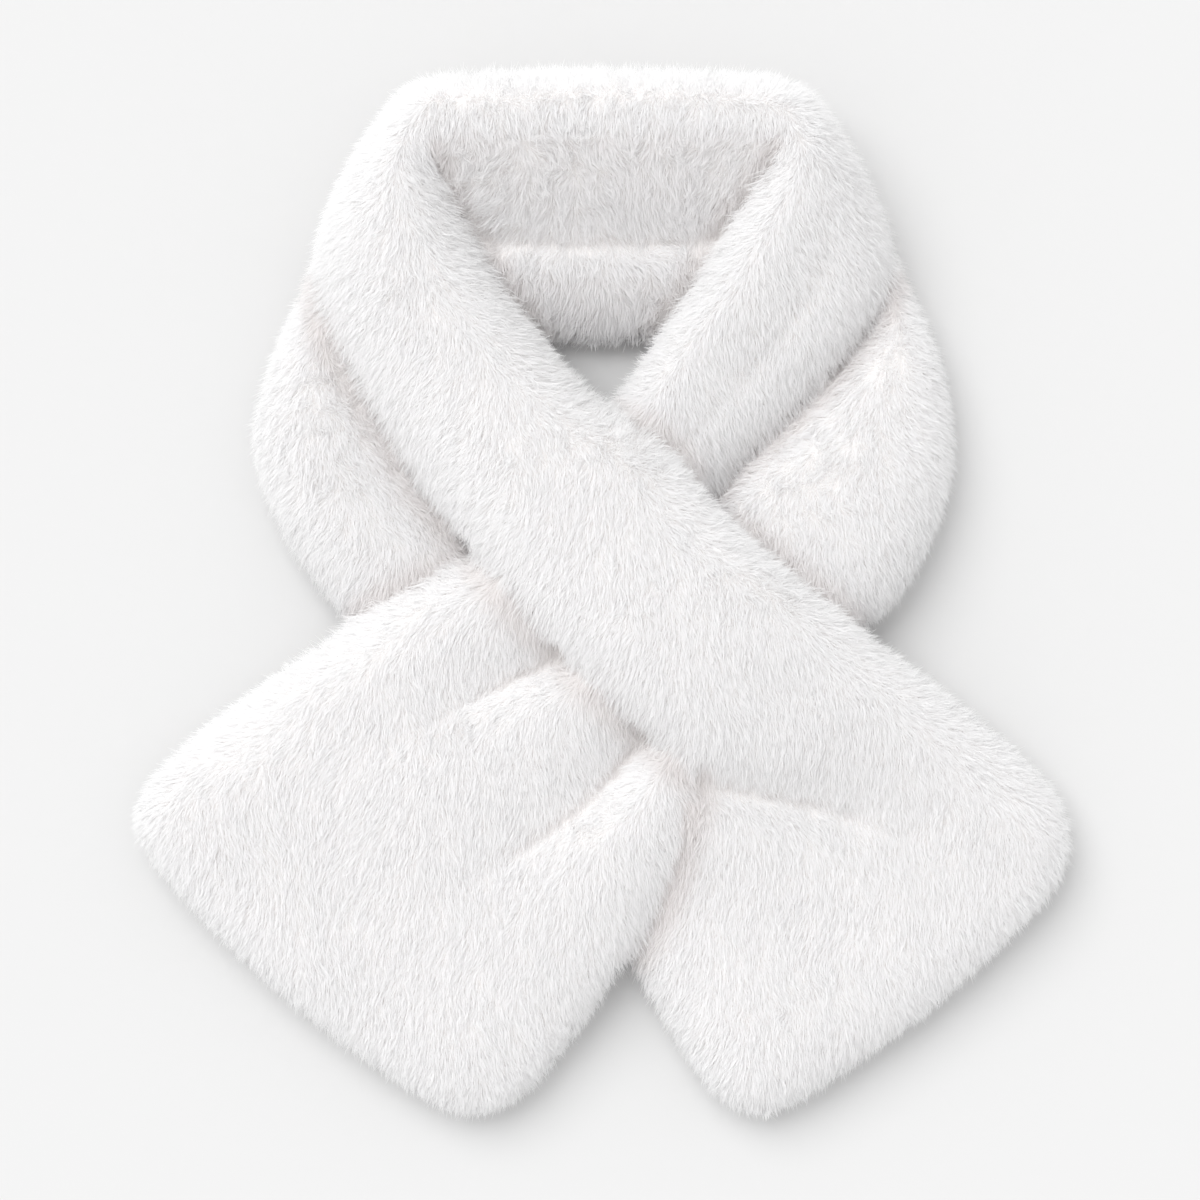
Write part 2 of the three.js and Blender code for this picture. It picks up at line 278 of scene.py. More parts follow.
GUARD = FibreCut(
    name="guard hair",
    lay=Lay.STANDING,
    per_square_mm=0.76,
    length=7.4 * MM,
    length_spread=0.16,
    width=0.24 * MM,
    lean_at_root=42.0,
    lean_at_tip=70.0,
    stray=0.22,
    drawn_in=0.22,
    jointed=True,
)
UNDERFUR = FibreCut(
    name="underfur",
    lay=Lay.STANDING,
    per_square_mm=3.05,
    length=5.2 * MM,
    length_spread=0.2,
    width=0.32 * MM,
    lean_at_root=48.0,
    lean_at_tip=60.0,
    stray=0.3,
    drawn_in=0.08,
    jointed=False,
)
PRESSED = FibreCut(
    name="pressed lock",
    lay=Lay.PRESSED,
    per_square_mm=0.3,
    length=11.0 * MM,
    length_spread=0.2,
    width=1.0 * MM,
    lean_at_root=78.0,
    lean_at_tip=90.0,
    stray=0.1,
    drawn_in=0.05,
    jointed=True,
)

WHITE_PILE = PileFinish(
    name="white_pile",
    colours=Colours(
        # The darker, warmer root is partly painted shade of the deep pile.
        root=(0.980, 0.972, 0.972),
        middle=(0.990, 0.989, 0.990),
        tip=(0.997, 0.997, 0.999),
    ),
)
# The ground cloth's off-white, darkened further as painted shade of the deep pile seen between the fibres.
GROUND = SkinFinish(name="fur_ground", colour=(0.88, 0.86, 0.85))


def unit(vectors: np.ndarray) -> np.ndarray:
    """Scales each row to length one.

    Args:
        vectors: Rows of three numbers.

    Returns:
        The same directions, each of length one.
    """
    size = np.linalg.norm(vectors, axis=1, keepdims=True)
    return vectors / np.maximum(size, 1e-12)


def eased(low: float, high: float, values: np.ndarray) -> np.ndarray:
    """Rises smoothly from 0 at low to 1 at high.

    Args:
        low: The value at and below which the result is 0.
        high: The value at and above which the result is 1.
        values: The numbers to map.

    Returns:
        One number from 0 to 1 for each value.
    """
    share = np.clip((values - low) / (high - low), 0.0, 1.0)
    return share * share * (3.0 - 2.0 * share)


@dataclass
class Flow:
    """A smooth random drift over the surface, which parts the pile into waves and locks."""

    wavelength: float
    seed: int
    waves: int = 14
    turn: np.ndarray = field(init=False)
    phase: np.ndarray = field(init=False)

    def __post_init__(self) -> None:
        """Draws the waves once, so that every stretch shares one drift."""
        rng = np.random.default_rng(self.seed)
        heading = unit(rng.normal(size=(self.waves * 3, 3)))
        rate = 2.0 * math.pi / (self.wavelength * rng.uniform(0.7, 1.6, size=(self.waves * 3, 1)))
        self.turn = heading * rate
        self.phase = rng.uniform(0.0, 2.0 * math.pi, size=self.waves * 3)

    def at(self, points: np.ndarray) -> np.ndarray:
        """Gives the drift at each point.

        Args:
            points: Rows of places in metres.

        Returns:
            A vector for each point, about one long.
        """
        swing = np.sin(points @ self.turn.T + self.phase)
        return swing.reshape(len(points), 3, self.waves).sum(axis=2) / math.sqrt(self.waves / 2.0)


@dataclass
class Skin:
    """The strip's ground cloth, as one surface a pile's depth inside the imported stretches."""

    nodes: dict[str, bpy.types.Object]
    finish: SkinFinish
    unbroken: tuple[Run, ...]
    voxel: float = 1.8 * MM
    smoothing: int = 1
    depth_on_top: float = 3.0 * MM
    depth_at_rim: float = 3.6 * MM
    depth_below: float = 1.3 * MM
    ridge_depth: float = 1.0 * MM
    ridge_below: float = 0.1 * MM
    ridge_rounds: int = 10
    crease_depth: float = 2.8 * MM
    over_reach: float = 8.0 * MM
    under_reach: float = 17.0 * MM
    kept_faces: float = 0.4
    wall: float = 1.2 * MM
    tuck: float = 0.9 * MM
    seam_reach: float = 11.0 * MM
    seam_rounds: int = 20
    top_rounds: int = 70
    top_y: float = 160.0 * MM
    top_z: float = 34.0 * MM
    form: np.ndarray = field(init=False)
    normals: np.ndarray = field(init=False)
    broad: np.ndarray = field(init=False)
    depth: np.ndarray = field(init=False)
    hollow: np.ndarray = field(init=False)
    over: np.ndarray = field(init=False)
    under: np.ndarray = field(init=False)
    triangles: np.ndarray = field(init=False)
    owner: np.ndarray = field(init=False)
    mesh: bpy.types.Mesh = field(init=False)
    cloth: bpy.types.Material = field(init=False)

    def build(self) -> None:
        """Joins the stretches' outer forms, smooths them, and works out how deep the skin lies."""
        self.cloth = self.finish.material()
        self.mesh = self._joined_form()
        count = len(self.mesh.vertices)
        self.form = self._places()
        self.normals = self._soft_normals(2, np.zeros(count, int))
        self.hollow = self._hollowness()
        self._round_ridges()
        self.normals = self._soft_normals(2, np.zeros(count, int))
        distance = self._distances(self.form)
        self.broad = self._soft_normals(48, self._bodies(distance))
        self.over = self._beside(distance, 1, self.over_reach)
        # The ground under another stretch, where the pile gets painted shade.
        self.under = self._beside(distance, -1, self.under_reach)
        self.hollow = self._hollowness()
        self.hollow[self.hollow > 0.0] *= (1.0 - self.over)[self.hollow > 0.0]
        self.depth = self._depth_at(self.normals)
        self.depth += np.clip(-self.hollow, 0.0, self.ridge_depth)
        self.depth += np.clip(self.hollow, 0.0, self.crease_depth)
        self.mesh.calc_loop_triangles()
        flat = np.empty(len(self.mesh.loop_triangles) * 3, np.int32)
        self.mesh.loop_triangles.foreach_get("vertices", flat)
        self.triangles = flat.reshape(-1, 3)
        self.owner = self._distances(self.form[self.triangles].mean(axis=1)).argmin(axis=0)

    def _joined_form(self) -> bpy.types.Mesh:
        """Closes the seam gaps between the stretches and gives the whole a fine even mesh.

        Returns:
            One closed mesh, the outer form of the pile.
        """
        joined = bmesh.new()
        for node in self.nodes.values():
            joined.from_mesh(node.data)
        bmesh.ops.remove_doubles(joined, verts=joined.verts, dist=0.001 * MM)
        coarse = bpy.data.meshes.new("joined_form")
        joined.to_mesh(coarse)
        joined.free()
        holder = bpy.data.objects.new("joined_form", coarse)
        bpy.context.scene.collection.objects.link(holder)
        remesh = holder.modifiers.new("even", "REMESH")
        remesh.mode = "VOXEL"
        remesh.voxel_size = self.voxel
        depsgraph = bpy.context.evaluated_depsgraph_get()
        fine = bpy.data.meshes.new_from_object(holder.evaluated_get(depsgraph))
        bpy.data.objects.remove(holder)

        even = bmesh.new()
        even.from_mesh(fine)
        self._keep_largest(even)
        self._even_seams(even)
        for _ in range(self.smoothing):
            bmesh.ops.smooth_vert(
                even, verts=even.verts, factor=0.5, use_axis_x=True, use_axis_y=True, use_axis_z=True
            )
        even.to_mesh(fine)
        even.free()
        return fine

    def _keep_largest(self, form: bmesh.types.BMesh) -> None:
        """Deletes every island but the largest, such as air pockets shut inside the folds.

        Args:
            form: The mesh, changed in place.
        """
        form.verts.ensure_lookup_table()
        unseen = set(form.verts)
        islands = []
        while unseen:
            island = {unseen.pop()}
            edge_of_search = list(island)
            while edge_of_search:
                vert = edge_of_search.pop()
                for edge in vert.link_edges:
                    other = edge.other_vert(vert)
                    if other in unseen:
                        unseen.discard(other)
                        island.add(other)
                        edge_of_search.append(other)
            islands.append(island)
        islands.sort(key=len)
        for island in islands[:-1]:
            bmesh.ops.delete(form, geom=list(island), context="VERTS")

    def _even_seams(self, form: bmesh.types.BMesh) -> None:
        """Smooths the seams over which the strip runs on unbroken, and rounds the top of the neck.

        Args:
            form: The mesh, changed in place.
        """
        places = np.array([vert.co for vert in form.verts])
        owner = self._distances(places).argmin(axis=0)
        names = list(self.nodes)
        pairs = {frozenset((names.index(run.one), names.index(run.other))): run for run in self.unbroken}
        seam = []
        for edge in form.edges:
            run = pairs.get(frozenset((owner[edge.verts[0].index], owner[edge.verts[1].index])))
            middle = (edge.verts[0].co + edge.verts[1].co) / 2.0
            if run is not None and middle.y > run.from_y:
                seam.append(middle)
        tree = KDTree(len(seam))
        for index, spot in enumerate(seam):
            tree.insert(spot, index)
        tree.balance()
        near = [vert for vert in form.verts if tree.find(vert.co)[2] < self.seam_reach]
        top = [vert for vert in form.verts if vert.co.y > self.top_y and vert.co.z > self.top_z]
        for verts, rounds in ((near, self.seam_rounds), (top, self.top_rounds)):
            for _ in range(rounds):
                bmesh.ops.smooth_vert(
                    form, verts=verts, factor=0.5, use_axis_x=True, use_axis_y=True, use_axis_z=True
                )

    def _places(self) -> np.ndarray:
        """Reads where the outer form's vertices are, in metres, one row each."""
        places = np.empty(len(self.mesh.vertices) * 3, np.float32)
        self.mesh.vertices.foreach_get("co", places)
        return places.reshape(-1, 3).astype(float)

    def _round_ridges(self) -> None:
        """Rounds every ridge of the outer form, as deep pile does, and leaves the creases sharp."""
        form = bmesh.new()
        form.from_mesh(self.mesh)
        raised = [vert for vert in form.verts if self.hollow[vert.index] < self.ridge_below]
        for _ in range(self.ridge_rounds):
            bmesh.ops.smooth_vert(
                form, verts=raised, factor=0.5, use_axis_x=True, use_axis_y=True, use_axis_z=True
            )
        form.to_mesh(self.mesh)
        form.free()
        self.form = self._places()

    def _beside(self, distance: np.ndarray, side: int, reach: float) -> np.ndarray:
        """Finds the rims that lie over another stretch, or the ground beside a stretch that lies over it.

        Args:
            distance: How far each vertex is from every stretch.
            side: 1 for the rims above, -1 for the ground below.
            reach: How far from the other stretch the effect ends, in metres.

        Returns:
            For each vertex a share from 0, out of reach, to 1, right beside the other stretch.
        """
        layer = np.array([stretch.layer for stretch in STRETCHES])
        body = distance.argmin(axis=0)
        names = list(self.nodes)
        share = np.zeros(len(self.form))
        for number in range(len(names)):
            near = 1.0 - eased(0.15 * reach, reach, distance[number])
            near *= side * (layer[body] - layer[number]) > 0
            for run in self.unbroken:
                if names[number] in (run.one, run.other):
                    partner = names.index(run.other if names[number] == run.one else run.one)
                    near[(body == partner) & (self.form[:, 1] > run.from_y)] = 0.0
            share = np.maximum(share, near)
        return share

    def _bodies(self, distance: np.ndarray) -> np.ndarray:
        """Numbers the vertices by the body they belong to, where unbroken stretches are one body.

        Args:
            distance: How far each vertex is from every stretch.

        Returns:
            For each vertex the number of its body.
        """
        body = distance.argmin(axis=0)
        names = list(self.nodes)
        for run in self.unbroken:
            if run.from_y < 0.0:
                body[body == names.index(run.other)] = names.index(run.one)
        return body

    def _soft_normals(self, rounds: int, body: np.ndarray) -> np.ndarray:
        """Averages the vertex normals with their neighbours' on the same body.

        Args:
            rounds: How often each normal is averaged.
            body: For each vertex the number of its body.

        Returns:
            One outward normal for each vertex.
        """
        count = len(self.mesh.vertices)
        normals = np.empty(count * 3, np.float32)
        self.mesh.vertices.foreach_get("normal", normals)
        normals = normals.reshape(-1, 3).astype(float)
        edges = np.empty(len(self.mesh.edges) * 2, np.int32)
        self.mesh.edges.foreach_get("vertices", edges)
        edges = edges.reshape(-1, 2)
        edges = edges[body[edges[:, 0]] == body[edges[:, 1]]]
        for _ in range(rounds):
            total = normals.copy()
            for axis in range(3):
                total[:, axis] += np.bincount(edges[:, 0], normals[edges[:, 1], axis], count)
                total[:, axis] += np.bincount(edges[:, 1], normals[edges[:, 0], axis], count)
            normals = unit(total)
        return normals

    def _hollowness(self, rounds: int = 12) -> np.ndarray:
        """Measures how far each vertex lies down in a crease.

        Args:
            rounds: How often each place is averaged with its neighbours, which sets the reach.

        Returns:
            For each vertex how far its surroundings rise above it, in metres; under 0 on a ridge.
        """
        edges = np.empty(len(self.mesh.edges) * 2, np.int32)
        self.mesh.edges.foreach_get("vertices", edges)
        edges = edges.reshape(-1, 2)
        count = len(self.form)
        shares = np.bincount(edges.ravel(), minlength=count)[:, None] + 1.0
        evened = self.form.copy()
        for _ in range(rounds):
            total = evened.copy()
            for axis in range(3):
                total[:, axis] += np.bincount(edges[:, 0], evened[edges[:, 1], axis], count)
                total[:, axis] += np.bincount(edges[:, 1], evened[edges[:, 0], axis], count)
            evened = total / shares
        return np.sum((evened - self.form) * self.normals, axis=1)

    def _depth_at(self, normals: np.ndarray) -> np.ndarray:
        """Says how deep the skin lies under the pile's outer form.

        Args:
            normals: Outward normals.

        Returns:
            A depth for each: most on top, less at the rims, least where the strip rests.
        """
        rise = np.clip(normals[:, 2], 0.0, 1.0)
        open_air = self.depth_at_rim + (self.depth_on_top - self.depth_at_rim) * rise
        free = eased(-0.8, -0.2, normals[:, 2])
        return self.depth_below + (open_air - self.depth_below) * free

    def _distances(self, places: np.ndarray) -> np.ndarray:
        """Measures how far each place is from every stretch.

        Args:
            places: Places on the outer form, such as the middles of its faces.

        Returns:
            A row for each stretch, in the order of nodes, and in it a distance for each place.
        """
        distance = np.empty((len(self.nodes), len(places)))
        for row, node in enumerate(self.nodes.values()):
            copy = bmesh.new()
            copy.from_mesh(node.data)
            bmesh.ops.remove_doubles(copy, verts=copy.verts, dist=0.001 * MM)
            tree = BVHTree.FromBMesh(copy)
            copy.free()
            distance[row] = [tree.find_nearest(Vector(place))[3] for place in places]
        return distance

    def piece(self, stretch: Stretch, number: int) -> bpy.types.Object:
        """Makes one stretch's share of the skin, with its wall.

        Args:
            stretch: The stretch.
            number: Its place in the order of nodes.

        Returns:
            The skin's object, at the origin.
        """
        share = bmesh.new()
        share.from_mesh(self.mesh)
        share.faces.ensure_lookup_table()
        self.mesh.calc_loop_triangles()
        face_of = np.empty(len(self.mesh.loop_triangles), np.int32)
        self.mesh.loop_triangles.foreach_get("polygon_index", face_of)
        mine = np.zeros(len(self.mesh.polygons), bool)
        mine[face_of[self.owner == number]] = True
        own = {vert for face in share.faces if mine[face.index] for vert in face.verts}
        mine[[face.index for vert in own for face in vert.link_faces]] = True
        tucked = np.full(len(self.form), self.tuck)
        tucked[[vert.index for vert in own]] = 0.0
        lowered = self.form - self.normals * (self.depth + tucked)[:, None]
        lowered[:, 2] = np.maximum(lowered[:, 2], self.depth_below)
        for vert, place in zip(share.verts, lowered):
            vert.co = place
        others = [face for face in share.faces if not mine[face.index]]
        bmesh.ops.delete(share, geom=others, context="FACES")
        for face in share.faces:
            face.smooth = True
        mesh = bpy.data.meshes.new(f"{stretch.node}_skin")
        share.to_mesh(mesh)
        share.free()
        mesh.materials.append(self.cloth)
        skin = bpy.data.objects.new(f"{stretch.node}_skin", mesh)
        bpy.context.scene.collection.objects.link(skin)
        lighter = skin.modifiers.new("lighter", "DECIMATE")
        lighter.ratio = self.kept_faces
        wall = skin.modifiers.new("wall", "SOLIDIFY")
        wall.thickness = self.wall
        wall.offset = -1.0
        return skin


@dataclass
class Roots:
    """Where fibres stand: places on the outer form, and what the surface is like there."""

    place: np.ndarray
    normal: np.ndarray
    broad: np.ndarray
    depth: np.ndarray
    hollow: np.ndarray
    over: np.ndarray
    under: np.ndarray
    ruffle: float

    def ruffled(self) -> np.ndarray:
        """Gives how much more each root is ruffled than the rest: only those that face the tails are."""
        return (self.ruffle - 1.0) * eased(0.05, 0.4, -self.broad[:, 1])


@dataclass
class Fibres:
    """Fibres as bare arrays: root, knee and tip, the way each faces, how wide it is, and its place across
    the map, which sets its tone, random in part and painted shade and highlight in part.
    """

    root: np.ndarray
    knee: np.ndarray
    tip: np.ndarray
    normal: np.ndarray
    width: np.ndarray
    shade: np.ndarray


@dataclass
class Coat:
    """The pile: fibres of several cuts, combed along the body and drawn together in locks."""

    skin: Skin
    finish: PileFinish
    cuts: tuple[FibreCut, ...]
    waves: Flow
    locks: Flow
    lock_area: float = 5.0
    follow: float = 0.25
    comb_down: float = 0.7
    comb_out: float = 0.95
    comb_wave: float = 0.13
    comb_lock: float = 0.13
    comb_firm: float = 0.6
    crease_starts: float = 0.25 * MM
    crease_full: float = 1.2 * MM
    crease_length: float = 0.5
    # How strongly painted shade darkens the pile in a crease, inside the neck and under another stretch.
    crease_shade: float = 0.7
    ruffled_shade: float = 0.25
    under_shade: float = 0.9
    rim_length: float = 0.3
    rim_tufts: float = 1.1
    floor_clearance: float = 0.15 * MM
    fur: bpy.types.Material = field(init=False)

    def __post_init__(self) -> None:
        """Makes the fibres' material once, for every stretch."""
        self.fur = self.finish.material()

    def piece(self, stretch: Stretch, number: int) -> bpy.types.Object:
        """Grows the pile of one stretch.

        Args:
            stretch: The stretch.
            number: Its place in the order of nodes.

        Returns:
            The pile's object, at the origin.
        """
        rng = np.random.default_rng(SEED + number)
        triangles = self.skin.triangles[self.skin.owner == number]
        grown = [(cut, self._grow(cut, triangles, stretch.ruffle, rng)) for cut in self.cuts]
        mesh = self._mesh_of(grown, f"{stretch.node}_pile", rng)
        mesh.materials.append(self.fur)
        pile = bpy.data.objects.new(f"{stretch.node}_pile", mesh)
        bpy.context.scene.collection.objects.link(pile)
        return pile

    def _sample(
        self, lay: Lay, per_square_mm: float, triangles: np.ndarray, ruffle: float, rng: np.random.Generator
    ) -> Roots:
        """Scatters root places evenly over the faces of one lay.

        Args:
            lay: Which faces take fibres: the open ones or those pressed on the table.
            per_square_mm: How many to a square millimetre.
            triangles: The stretch's faces.
            ruffle: How strongly the pile of this stretch is ruffled.
            rng: The source of chance.

        Returns:
            The roots.
        """
        corners = self.skin.form[triangles]
        cross = np.cross(corners[:, 1] - corners[:, 0], corners[:, 2] - corners[:, 0])
        area = np.linalg.norm(cross, axis=1) / 2.0
        rise = self.skin.normals[triangles].mean(axis=1)[:, 2]
        open_share = eased(-0.6, -0.3, rise)
        thick = 0.7 + 0.3 * eased(-0.2, 0.4, rise)
        weight = area * (open_share * thick if lay is Lay.STANDING else 1.0 - open_share)
        count = int(weight.sum() / MM**2 * per_square_mm)
        chosen = rng.choice(len(triangles), size=count, p=weight / weight.sum())
        u, v = rng.random((2, count))
        folded = u + v > 1.0
        u[folded] = 1.0 - u[folded]
        v[folded] = 1.0 - v[folded]
        shares = np.stack([1.0 - u - v, u, v], axis=1)
        picked = triangles[chosen]
        return Roots(
            place=np.einsum("ij,ijk->ik", shares, self.skin.form[picked]),
            normal=unit(np.einsum("ij,ijk->ik", shares, self.skin.normals[picked])),
            broad=unit(np.einsum("ij,ijk->ik", shares, self.skin.broad[picked])),
            depth=np.einsum("ij,ij->i", shares, self.skin.depth[picked]),
            hollow=np.einsum("ij,ij->i", shares, self.skin.hollow[picked]),
            over=np.einsum("ij,ij->i", shares, self.skin.over[picked]),
            under=np.einsum("ij,ij->i", shares, self.skin.under[picked]),
            ruffle=ruffle,
        )

    def _comb(self, roots: Roots) -> tuple[np.ndarray, np.ndarray]:
        """Gives the way in which the pile is combed along the surface.

        Args:
            roots: Where the fibres stand.

        Returns:
            A tangent of length one for each root, and how firmly it is combed there, from 0 to 1.
        """
        place, normal = roots.place, roots.normal
        outward = roots.broad * np.array([1.0, 1.0, 0.0])
        ruffle = 1.0 + roots.ruffled()[:, None]
        comb = (
            self.comb_down * TOWARDS_TAILS
            + self.comb_out * outward
            + self.comb_wave * ruffle * self.waves.at(place)
            + self.comb_lock * ruffle * self.locks.at(place)
        )
        comb -= normal * np.sum(comb * normal, axis=1, keepdims=True)
        return unit(comb), eased(0.0, self.comb_firm, np.linalg.norm(comb, axis=1, keepdims=True))

    def _strokes(
        self, cut: FibreCut, roots: Roots, rng: np.random.Generator
    ) -> tuple[np.ndarray, np.ndarray]:
        """Works out each fibre's way from its root to its knee and to its tip.

        Args:
            cut: The kind of fibre.
            roots: Where the fibres stand. The pile looks shorter in a crease, where it is flattened.
            rng: The source of chance.

        Returns:
            The two offsets from the root, in metres.
        """
        count, normal = len(roots.place), roots.normal
        comb, firmness = self._comb(roots)
        length = cut.length * np.exp(rng.normal(0.0, cut.length_spread, count))
        length = np.minimum(length, cut.length * 1.35)
        length *= 1.0 - self.crease_length * eased(self.crease_starts, self.crease_full, roots.hollow)
        length *= 1.0 + self.rim_length * roots.over
        length = (length * (0.6 + 0.4 * eased(-0.7, 0.1, normal[:, 2])))[:, None]
        upright = 0.6 + 0.4 * np.clip(normal[:, 2:3], 0.0, 1.0) if cut.lay is Lay.STANDING else 1.0
        stray = rng.normal(0.0, cut.stray, (2, count, 3))
        headings = []
        for lean, drift in zip((cut.lean_at_root, cut.lean_at_tip), stray):
            angle = np.radians(lean) * upright * (0.3 + 0.7 * firmness)
            loose = drift * (2.5 - 1.5 * firmness)
            headings.append(unit(normal * np.cos(angle) + comb * np.sin(angle) + loose))
        to_knee = headings[0] * length * 0.5
        to_tip = to_knee + headings[1] * length * 0.5
        return to_knee, to_tip

    def _grow(
        self, cut: FibreCut, triangles: np.ndarray, ruffle: float, rng: np.random.Generator
    ) -> Fibres:
        """Grows the fibres of one cut and draws them together in locks.

        Args:
            cut: The kind of fibre.
            triangles: The stretch's faces.
            ruffle: How strongly the pile of this stretch is ruffled.
            rng: The source of chance.

        Returns:
            The fibres.
        """
        roots = self._sample(cut.lay, cut.per_square_mm, triangles, ruffle, rng)
        to_knee, to_tip = self._strokes(cut, roots, rng)
        root = roots.place - roots.normal * roots.depth[:, None]

        hearts = self._sample(cut.lay, 1.0 / self.lock_area, triangles, ruffle, rng)
        heart_knee, heart_tip = self._strokes(cut, hearts, rng)
        tree = KDTree(len(hearts.place))
        for index, spot in enumerate(hearts.place):
            tree.insert(spot, index)
        tree.balance()
        nearest = np.array([tree.find(spot)[1] for spot in roots.place])
        apart = roots.place - hearts.place[nearest]
        apart -= roots.normal * np.sum(apart * roots.normal, axis=1, keepdims=True)
        drawn_in = cut.drawn_in * (1.0 + self.rim_tufts * (1.0 - np.clip(roots.normal[:, 2:3], 0.0, 1.0)))
        to_knee += (heart_knee[nearest] - to_knee) * self.follow * 0.6 - apart * drawn_in * 0.3
        to_tip += (heart_tip[nearest] - to_tip) * self.follow - apart * drawn_in

        knee = root + to_knee
        tip = root + to_tip
        for joint in (root, knee, tip):
            joint[:, 2] = np.maximum(joint[:, 2], self.floor_clearance)
        width = cut.width * rng.uniform(0.75, 1.2, len(root))
        # Painted highlight: fibres at the rims move up the map towards white, those on the flat stay at the
        # darker tint; the rest of the spread is random tone.
        painted_rim_highlight = 1.0 - np.clip(roots.normal[:, 2], 0.0, 1.0) ** 2
        shade = 0.36 + 0.6 * (0.35 * rng.random(len(root)) + 0.65 * painted_rim_highlight)
        # Painted shade: sheltered fibres move down the map towards the darker, warmer tint.
        shade *= 1.0 - self._painted_shade_share(roots)
        return Fibres(root, knee, tip, roots.broad, width, shade)

    def _painted_shade_share(self, roots: Roots) -> np.ndarray:
        """Tells how much painted shade darkens the fibres: in a crease, under another stretch or inside the
        neck.

        Args:
            roots: Where the fibres stand.

        Returns:
            A share from 0 to 1 for each root.
        """
        crease = self.crease_shade * eased(self.crease_starts, self.crease_full, roots.hollow)
        inside = np.minimum(self.ruffled_shade * roots.ruffled(), 1.0)
        return np.maximum.reduce([crease, inside, self.under_shade * roots.under])

    def _mesh_of(
        self, grown: list[tuple[FibreCut, Fibres]], name: str, rng: np.random.Generator
    ) -> bpy.types.Mesh:
        """Joins all fibres of a stretch in one mesh, each a flat tapered blade that faces outwards.

        Args:
            grown: The cuts with their fibres.
            name: The mesh's name.
            rng: The source of chance.

        Returns:
            The mesh, with the map from root to tip and soft normals.
        """
        points, corners, totals, maps, normals = [], [], [], [], []
        start = 0
        for cut, fibres in grown:
            block = self._jointed(fibres, rng) if cut.jointed else self._straight(fibres, rng)
            vertices, loops, sizes, places, facing = block
            points.append(vertices)
            corners.append(loops + start)
            totals.append(sizes)
            maps.append(places)
            normals.append(facing)
            start += len(vertices)
        points, corners = np.concatenate(points), np.concatenate(corners)
        points[:, 2] = np.maximum(points[:, 2], self.floor_clearance)
        totals, maps, normals = np.concatenate(totals), np.concatenate(maps), np.concatenate(normals)

        mesh = bpy.data.meshes.new(name)
        mesh.vertices.add(len(points))
        mesh.vertices.foreach_set("co", points.astype(np.float32).ravel())
        mesh.loops.add(len(corners))
        mesh.loops.foreach_set("vertex_index", corners.astype(np.int32))
        mesh.polygons.add(len(totals))
        starts = np.concatenate([[0], np.cumsum(totals)[:-1]])
        mesh.polygons.foreach_set("loop_start", starts.astype(np.int32))
        mesh.polygons.foreach_set("use_smooth", np.ones(len(totals), bool))
        mesh.update(calc_edges=True)
        layer = mesh.uv_layers.new(name=PILE_MAP)
        layer.data.foreach_set("uv", maps.astype(np.float32).ravel())
        mesh.normals_split_custom_set_from_vertices(normals.astype(np.float32))
        return mesh

    def _sideways(
        self, along: np.ndarray, normal: np.ndarray, rng: np.random.Generator
    ) -> tuple[np.ndarray, np.ndarray]:
        """Turns each blade so that its flat side faces outwards and up, give or take a twist.

        Args:
            along: The blades' headings.
            normal: Outward normals at their roots.
            rng: The source of chance.

        Returns:
            The direction across each blade, and its shading normal.
        """
        facing = normal + 0.9 * UP
        across = unit(np.cross(along, facing))
        lifted = np.cross(across, along)
        twist = rng.normal(0.0, math.radians(16.0), len(along))[:, None]
        across = across * np.cos(twist) + lifted * np.sin(twist)
        flat = np.cross(across, along)
        return across, unit(0.55 * unit(normal + 0.35 * UP) + 0.55 * flat)

    def _jointed(self, fibres: Fibres, rng: np.random.Generator) -> tuple[np.ndarray, ...]:
        """Makes blades of two parts: a four-sided stem and a pointed tip.

        Args:
            fibres: The fibres.
            rng: The source of chance.

        Returns:
            Vertices, loops, loop counts, map places for each loop, and a normal for each vertex.
        """
        count = len(fibres.root)
        across, normal = self._sideways(unit(fibres.tip - fibres.root), fibres.normal, rng)
        half = across * fibres.width[:, None] / 2.0
        foot = (fibres.root - half, fibres.root + half)
        vertices = np.stack([*foot, fibres.knee + half, fibres.knee - half, fibres.tip], axis=1)
        base = np.arange(count)[:, None] * 5
        loops = base + np.array([0, 1, 2, 3, 3, 2, 4])
        totals = np.tile([4, 3], count)
        left, right = fibres.shade - 0.02, fibres.shade + 0.02
        u = np.stack([left, right, right, left, left, right, fibres.shade], axis=1)
        v = np.tile([0.0, 0.0, 0.5, 0.5, 0.5, 0.5, 1.0], (count, 1))
        maps = np.stack([u, v], axis=2)
        return (
            vertices.reshape(-1, 3),
            loops.ravel(),
            totals,
            maps.reshape(-1, 2),
            np.repeat(normal, 5, axis=0),
        )

    def _straight(self, fibres: Fibres, rng: np.random.Generator) -> tuple[np.ndarray, ...]:
        """Makes straight blades of one pointed part, which start just above the skin.

        Args:
            fibres: The fibres.
            rng: The source of chance.

        Returns:
            Vertices, loops, loop counts, map places for each loop, and a normal for each vertex.
        """
        count = len(fibres.root)
        along = fibres.tip - fibres.root
        across, normal = self._sideways(unit(along), fibres.normal, rng)
        half = across * fibres.width[:, None] / 2.0
        foot = fibres.root + along * 0.15
        vertices = np.stack([foot - half, foot + half, fibres.tip], axis=1)
        loops = np.arange(count * 3)
        totals = np.full(count, 3)
        u = np.stack([fibres.shade - 0.02, fibres.shade + 0.02, fibres.shade], axis=1)
        v = np.tile([0.12, 0.12, 1.0], (count, 1))
        maps = np.stack([u, v], axis=2)
        return vertices.reshape(-1, 3), loops, totals, maps.reshape(-1, 2), np.repeat(normal, 3, axis=0)


